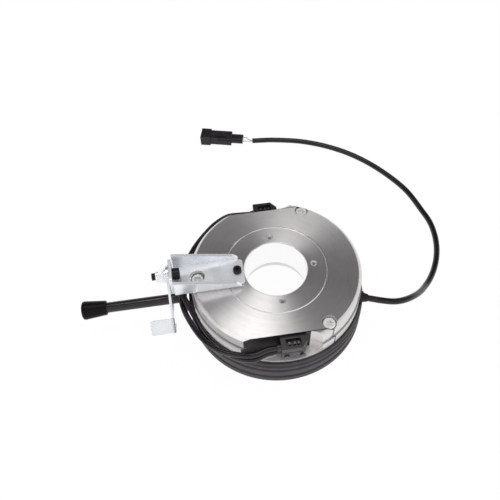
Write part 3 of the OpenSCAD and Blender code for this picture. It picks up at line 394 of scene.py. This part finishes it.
def turned_finish(name, light, dark, pitch, depth, streak):
    """Metal turned about the brake axis: light and dark bands of fine lines."""
    material, tree, shader = start_finish(name, Metallic=1.0, Anisotropic=streak,
                                          Anisotropic_Rotation=quarter_turn)
    marks = use(tree, turning_marks, Pitch=pitch)
    edges = use(tree, soft_edges, Radius=turned_edge)
    worn = blend_colour(tree, edges["Wear"], turned_tone(tree, marks, light, dark), turned_worn)
    tree.links.new(worn, shader["Base Color"])
    tree.links.new(between(tree, marks["Bands"], *turned_rough), shader["Roughness"])
    tree.links.new(relief(tree, marks["Lines"], depth, edges["Normal"]), shader["Normal"])
    tree.links.new(ring_tangent(tree), shader["Tangent"])
    return material


dress(turned_finish("ground plate steel", (0.8, 0.8, 0.81, 1), (0.66, 0.66, 0.67, 1),
                    pitch=0.0003, depth=0.000003, streak=0.5),
      "armature_plate")
dress(plain_finish("plated stud steel", (0.7, 0.7, 0.72, 1), (0.58, 0.58, 0.6, 1), rough=0.28,
                   metal=1.0, size=0.0008),
      "switch_adjusters")


# Friction disc, its linings and the flange plate
# The disc is machined aluminium with teeth for the motor's hub, and carries a pressed lining on
# each face. The flange plate is turned steel, and is the face that the disc rubs on.
dress(turned_finish("machined aluminium", (0.9, 0.9, 0.91, 1), (0.78, 0.78, 0.79, 1),
                    pitch=0.0006, depth=0.000005, streak=0.6),
      "friction_disc")
dress(plain_finish("pressed lining", (0.13, 0.11, 0.09, 1), (0.27, 0.24, 0.19, 1), rough=0.82,
                   size=0.0007, depth=0.00006),
      "friction_linings")
dress(turned_finish("turned flange steel", (0.82, 0.81, 0.81, 1), (0.68, 0.67, 0.67, 1),
                    pitch=0.0005, depth=0.000004, streak=0.6),
      "flange_plate")


# Dust ring
# A moulded rubber band with three round beads, stretched over the lower half of the brake. Its
# skin has a dull sheen, and is rubbed paler along its edges.
dress(plain_finish("moulded ring rubber", (0.022, 0.019, 0.0215, 1), (0.052, 0.047, 0.051, 1),
                   rough=0.48, size=0.0009, depth=0.00002, edge=0.0004,
                   worn=(0.10, 0.093, 0.098, 1), Specular_IOR_Level=0.26),
      "dust_ring")


# Mounting screws and spacer sleeves
# Three socket head screws hold the brake together through steel sleeves that set its air gap.
# The screws have a pale, silky plating. The sleeves are yellow plated and hidden in the brake.
dress(plain_finish("plated screw steel", (0.92, 0.91, 0.9, 1), (0.78, 0.77, 0.76, 1), rough=0.26,
                   metal=0.5, size=0.0006, depth=0.000002, worn=(0.95, 0.95, 0.94, 1)),
      "mounting_screws")
dress(plain_finish("yellow plated sleeve", (0.62, 0.56, 0.36, 1), (0.5, 0.44, 0.3, 1), rough=0.3,
                   metal=1.0, size=0.001),
      "spacer_sleeves")


# Lever bracket, latch plate and washer
# Sheet steel, punched, folded and then zinc plated. The plating is bright, with faint lines from the
# rolling of the sheet, a cloudy bloom, and bluish patches of painted reflection. The lock nut is
# plated the same way.
zinc_bright = (0.96, 0.965, 0.98, 1)
# A bluish tone that stands for reflected blue light, painted in patches.
zinc_blue_reflection = (0.60, 0.68, 0.79, 1)
zinc_streak = (0.64, 0.66, 0.71, 1)
zinc_worn = (0.97, 0.97, 0.98, 1)
bloom_size = 0.014
blue_reflection_share = 0.4
rolled = (0.05, 1, 1)
rolling_scale = 900.0
rolling_share = 0.2
fold_radius = 0.0004
zinc_grain = 0.0007
zinc_relief = 0.0000006
zinc_spread = 0.08


def zinc_finish(name, rough, metal):
    """Bright zinc on rolled sheet, whose bloom scatters part of the light, with bluish patches of
    painted reflection.
    """
    material, tree, shader = start_finish(name, Metallic=metal)
    bloom = use(tree, grain, Size=bloom_size, Roughness=0.25)
    fine = use(tree, grain, Size=zinc_grain)
    edges = use(tree, soft_edges, Radius=fold_radius)
    place = add(tree, "ShaderNodeTexCoord").outputs["Object"]
    drawn = add(tree, "ShaderNodeVectorMath", {0: place, 1: rolled}, operation="MULTIPLY")
    lines = add(tree, "ShaderNodeTexNoise",
                {"Vector": drawn.outputs[0], "Scale": rolling_scale, "Detail": 2.0})
    streaks = between(tree, lines.outputs[0], 0.0, rolling_share)
    blue_reflection_patches = between(tree, bloom["Value"], 0.0, blue_reflection_share)
    # Bluish patches of painted reflection, laid where the bloom is.
    tone = blend_colour(tree, blue_reflection_patches, zinc_bright, zinc_blue_reflection)
    tone = blend_colour(tree, streaks, tone, zinc_streak)
    tree.links.new(blend_colour(tree, edges["Wear"], tone, zinc_worn), shader["Base Color"])
    dull = between(tree, bloom["Value"], rough - zinc_spread, rough + zinc_spread)
    tree.links.new(dull, shader["Roughness"])
    tree.links.new(relief(tree, fine["Value"], zinc_relief, edges["Normal"]), shader["Normal"])
    return material


dress(zinc_finish("zinc plated sheet", rough=0.27, metal=0.58), "lever_bracket")
dress(zinc_finish("zinc plated latch", rough=0.27, metal=0.88), "latch_plate")
dress(zinc_finish("zinc plated washer", rough=0.18, metal=0.55), "latch_washer", "latch_nut")


# Black bolts and the lock nut's insert
# The latch bolt and the bracket's own screw are black oxide socket head screws. The lock nut
# holds a ring of blue nylon that grips the thread.
dress(plain_finish("black oxide", (0.012, 0.010, 0.012, 1), (0.026, 0.023, 0.026, 1), rough=0.36,
                   metal=0.4, size=0.0006, depth=0.000006, worn=(0.08, 0.075, 0.08, 1),
                   Specular_IOR_Level=0.3),
      "bracket_screw", "latch_bolt")
dress(plain_finish("blue nylon", (0.09, 0.17, 0.40, 1), (0.13, 0.23, 0.48, 1), rough=0.42,
                   size=0.0006),
      "latch_nut_insert")


# Release fork, its pins, and the lever
# The fork is blackened steel on two ground pins. The rod screws into it, and a rubber grip is
# pushed on the rod's end.
dress(plain_finish("blackened fork steel", (0.035, 0.033, 0.036, 1), (0.06, 0.057, 0.06, 1),
                   rough=0.42, metal=0.4, size=0.0009, depth=0.00002, worn=(0.14, 0.135, 0.14, 1)),
      "release_fork")
dress(plain_finish("ground pin steel", (0.62, 0.62, 0.63, 1), (0.5, 0.5, 0.51, 1), rough=0.25,
                   metal=1.0, size=0.0005),
      "fork_pins")
dress(plain_finish("satin black rod", (0.006, 0.004, 0.006, 1), (0.014, 0.011, 0.013, 1), rough=0.2,
                   size=0.0008, depth=0.000004, worn=(0.05, 0.045, 0.05, 1),
                   Specular_IOR_Level=0.5),
      "lever_rod")
dress(plain_finish("grip rubber", (0.003, 0.002, 0.003, 1), (0.008, 0.006, 0.007, 1), rough=0.34,
                   size=0.001, depth=0.00001, edge=0.0006, worn=(0.02, 0.017, 0.02, 1),
                   Specular_IOR_Level=0.1),
      "lever_grip")


# Microswitches
# Each is a moulded black case on one of the body's flats, with tinned terminals in its well, two
# slotted screws, and a red plunger below that the armature's stud pushes.
dress(plain_finish("moulded switch case", (0.007, 0.0055, 0.007, 1), (0.016, 0.013, 0.016, 1),
                   rough=0.36, size=0.0005, depth=0.000008, edge=0.0003,
                   worn=(0.05, 0.045, 0.05, 1), Specular_IOR_Level=0.75),
      "front_switch_housing", "rear_switch_housing")
dress(plain_finish("red plunger", (0.5, 0.05, 0.03, 1), (0.4, 0.035, 0.025, 1), rough=0.35,
                   size=0.0006),
      "front_switch_plunger", "rear_switch_plunger")
dress(plain_finish("tinned terminal", (0.22, 0.21, 0.21, 1), (0.13, 0.12, 0.12, 1), rough=0.42,
                   metal=1.0, size=0.0004),
      "front_switch_terminals", "rear_switch_terminals")
dress(plain_finish("blackened switch screw", (0.16, 0.15, 0.16, 1), (0.1, 0.095, 0.1, 1),
                   rough=0.36, metal=1.0, size=0.0004, worn=(0.4, 0.39, 0.4, 1)),
      "front_switch_screws", "rear_switch_screws")


# Leads
# The link lead joins the two switches round the lever's side, and the front switch's own lead goes
# into the body below the bracket. The main lead leaves a moulded gland on the right, drops to the
# bench and runs round behind the brake. All have a smooth black sheath.
lead_diameter = 0.0055
switch_lead_diameter = 0.0046
steps_per_point = 10
steps_round_quarter = 7
reach_part = 6
link_route = [
    (-0.0106, -0.0683, 0.047), (-0.018, -0.0688, 0.0469), (-0.03, -0.071, 0.0456),
    (-0.042, -0.068, 0.044), (-0.056, -0.0614, 0.043), (-0.068, -0.0486, 0.0422),
    (-0.0766, -0.031, 0.0416), (-0.0812, -0.016, 0.0412), (-0.082, -0.001, 0.0414),
    (-0.079, 0.014, 0.0426), (-0.073, 0.029, 0.043), (-0.0656, 0.042, 0.043), (-0.056, 0.0536, 0.0435),
    (-0.045, 0.064, 0.044), (-0.033, 0.07, 0.045), (-0.022, 0.0694, 0.046), (-0.0121, 0.0683, 0.0465),
]
switch_lead_route = [
    (-0.0106, -0.0683, 0.0405), (-0.019, -0.0694, 0.0403), (-0.031, -0.072, 0.0392),
    (-0.045, -0.0666, 0.0386), (-0.057, -0.0556, 0.0386), (-0.066, -0.043, 0.039),
    (-0.0714, -0.03, 0.0416), (-0.076, -0.019, 0.0458), (-0.0804, -0.008, 0.0482),
    (-0.082, -0.0026, 0.0487), (-0.082, 0.0024, 0.0488), (-0.0805, 0.0074, 0.0488),
    (-0.0767, 0.0106, 0.0488), (-0.0716, 0.0113, 0.0488), (-0.066, 0.0105, 0.0488),
]
main_route = [
    (0.0752, -0.0274, 0.032), (0.087, -0.0317, 0.032), (0.0972, -0.0334, 0.0306),
    (0.1068, -0.032, 0.0284), (0.1166, -0.0276, 0.0242), (0.1274, -0.0194, 0.0154),
    (0.137, -0.01, 0.0074), (0.1456, -0.0008, 0.0042), (0.1532, 0.0096, 0.003),
    (0.1596, 0.0214, 0.0028), (0.1644, 0.0346, 0.0028), (0.1672, 0.0488, 0.0028),
    (0.1676, 0.064, 0.0028), (0.1645, 0.08, 0.0028), (0.156, 0.111, 0.0028), (0.137, 0.143, 0.0028),
    (0.1145, 0.168, 0.0028), (0.0895, 0.186, 0.0028), (0.0625, 0.1985, 0.0028),
    (0.0345, 0.2055, 0.0028), (0.02, 0.2075, 0.0028), (0.0095, 0.2085, 0.0028),
]


def lay_lead(name, route, diameter, material, node):
    """A round sheath on one smooth curve through the route's points."""
    curve = bpy.data.curves.new(name, "CURVE")
    curve.dimensions = "3D"
    curve.resolution_u = steps_per_point
    curve.bevel_depth = diameter / 2
    curve.bevel_resolution = steps_round_quarter
    curve.use_fill_caps = True
    curve.materials.append(material)
    points = [Vector(point) for point in route]
    before = [2 * points[0] - points[1]] + points[:-1]
    after = points[1:] + [2 * points[-1] - points[-2]]
    spline = curve.splines.new("BEZIER")
    spline.bezier_points.add(len(points) - 1)
    for knot, last, here, ahead in zip(spline.bezier_points, before, points, after):
        reach = (ahead - last) / reach_part
        knot.co = here
        knot.handle_left = here - reach
        knot.handle_right = here + reach
    lead = bpy.data.objects.new(name, curve)
    bpy.context.scene.collection.objects.link(lead)
    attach(lead, "brake")
    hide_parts(node)
    return lead


sheath = plain_finish("lead sheath", (0.005, 0.0035, 0.005, 1), (0.012, 0.009, 0.011, 1), rough=0.24,
                      size=0.0012, depth=0.000006, Specular_IOR_Level=0.45)
lay_lead("link_lead", link_route, switch_lead_diameter, sheath, "switch_link_lead")
lay_lead("front_switch_lead", switch_lead_route, switch_lead_diameter, sheath, "switch_lead")
main_lead = lay_lead("sheathed_lead", main_route, lead_diameter, sheath, "main_lead")
dress(plain_finish("moulded gland", (0.008, 0.006, 0.008, 1), (0.018, 0.015, 0.018, 1), rough=0.42,
                   size=0.0007, worn=(0.05, 0.046, 0.05, 1), Specular_IOR_Level=0.3),
      "lead_gland")


# Plug
# A moulded two-way plug: a black housing with a wider mouth, a lock behind the contacts, and a
# rubber seal round each of the two wires where they come out of the sheath.
dress(plain_finish("moulded plug", (0.009, 0.007, 0.009, 1), (0.02, 0.016, 0.02, 1), rough=0.38,
                   size=0.0005, depth=0.00001, edge=0.0003, worn=(0.05, 0.045, 0.05, 1),
                   Specular_IOR_Level=0.3),
      "plug_housing")
dress(plain_finish("plug lock plastic", (0.045, 0.041, 0.045, 1), (0.06, 0.056, 0.06, 1),
                   rough=0.45, size=0.0005),
      "plug_lock")
dress(plain_finish("seal rubber", (0.36, 0.31, 0.2, 1), (0.3, 0.26, 0.17, 1), rough=0.5,
                   size=0.0004),
      "plug_seals")
dress(plain_finish("tinned contact", (0.74, 0.66, 0.46, 1), (0.62, 0.55, 0.38, 1), rough=0.26,
                   metal=1.0, size=0.0004),
      "plug_contacts")
dress(plain_finish("wire insulation", (0.68, 0.68, 0.66, 1), (0.56, 0.56, 0.54, 1), rough=0.4,
                   size=0.0005),
      "plug_wires")


# Table and light
# The brake lies on a white, back-lit table, with soft panels overhead, in front and on both sides.
# The room is white low down and dark grey overhead, which the turned face reflects between its
# bright streaks.
table_size = 6.0
table_drop = 0.0002
table_white, table_shade = (0.92, 0.92, 0.92, 1), (0.9, 0.9, 0.9, 1)
table_glow = 0.97
aim_height = 0.03
room_fill = 0.82
room_white, room_grey = (1, 1, 1, 1), (0.045, 0.041, 0.046, 1)
white_until, grey_from = 0.22, 0.5
panels = {
    "top_panel": ((-0.10, 0.20, 1.15), (0.46, 0.45), 2.5),
    "front_panel": ((0.08, -0.80, 0.96), (1.3, 0.9), 3.1),
    "left_panel": ((-0.95, -0.80, 0.50), (0.8, 0.5), 2.2),
    "right_panel": ((1.0, -0.25, 1.0), (0.5, 0.5), 1.0),
}


def seen_directly(tree):
    """1 for rays from the camera, from a reflection or through glass."""
    rays = add(tree, "ShaderNodeLightPath").outputs
    total = rays["Is Camera Ray"]
    for name in ("Is Glossy Ray", "Is Transmission Ray"):
        total = add(tree, "ShaderNodeMath", {0: total, 1: rays[name]}, operation="MAXIMUM").outputs[0]
    return total


def lay_table():
    """A flat sheet that glows white where it is seen, and is a plain white surface to the light."""
    mesh = bpy.data.meshes.new("table")
    half = table_size / 2
    mesh.from_pydata([(-half, -half, 0), (half, -half, 0), (half, half, 0), (-half, half, 0)], [],
                     [(0, 1, 2, 3)])
    table = bpy.data.objects.new("table", mesh)
    table.location.z = -table_drop
    bpy.context.scene.collection.objects.link(table)
    material, tree, shader = start_finish("white table", Roughness=0.9, Specular_IOR_Level=0.0)
    cloth = use(tree, grain, Size=0.05)
    tone = blend_colour(tree, cloth["Value"], table_white, table_shade)
    tree.links.new(tone, shader["Base Color"])
    glow = add(tree, "ShaderNodeEmission", {"Color": (1, 1, 1, 1), "Strength": 1.0})
    share = add(tree, "ShaderNodeMath", {0: seen_directly(tree), 1: table_glow},
                operation="MULTIPLY")
    mix = add(tree, "ShaderNodeMixShader", {0: share.outputs[0]})
    tree.links.new(tree.nodes["Principled BSDF"].outputs[0], mix.inputs[1])
    tree.links.new(glow.outputs[0], mix.inputs[2])
    tree.links.new(mix.outputs[0], tree.nodes["Material Output"].inputs["Surface"])
    table.data.materials.append(material)


def hang_panels():
    """Rectangular soft lights, turned towards the brake."""
    for name, (place, size, power) in panels.items():
        light = bpy.data.lights.new(name, "AREA")
        light.shape = "RECTANGLE"
        light.size, light.size_y = size
        light.energy = power
        panel = bpy.data.objects.new(name, light)
        panel.location = place
        aim = Vector((0, 0, aim_height)) - Vector(place)
        panel.rotation_euler = aim.to_track_quat("-Z", "Y").to_euler()
        bpy.context.scene.collection.objects.link(panel)


def paint_room():
    """White near the horizon and grey overhead where it is seen, with an even fill of light."""
    world = bpy.data.worlds.new("room")
    world.use_nodes = True
    bpy.context.scene.world = world
    tree = world.node_tree
    direction = add(tree, "ShaderNodeTexCoord").outputs["Generated"]
    height = add(tree, "ShaderNodeSeparateXYZ", {0: direction}).outputs["Z"]
    fade = add(tree, "ShaderNodeMapRange",
               {"Value": height, "From Min": white_until, "From Max": grey_from},
               interpolation_type="SMOOTHSTEP")
    room = blend_colour(tree, fade.outputs[0], room_white, room_grey)
    tone = blend_colour(tree, seen_directly(tree), (room_fill, room_fill, room_fill, 1), room)
    tree.links.new(tone, tree.nodes["Background"].inputs["Color"])


lay_table()
hang_panels()
paint_room()
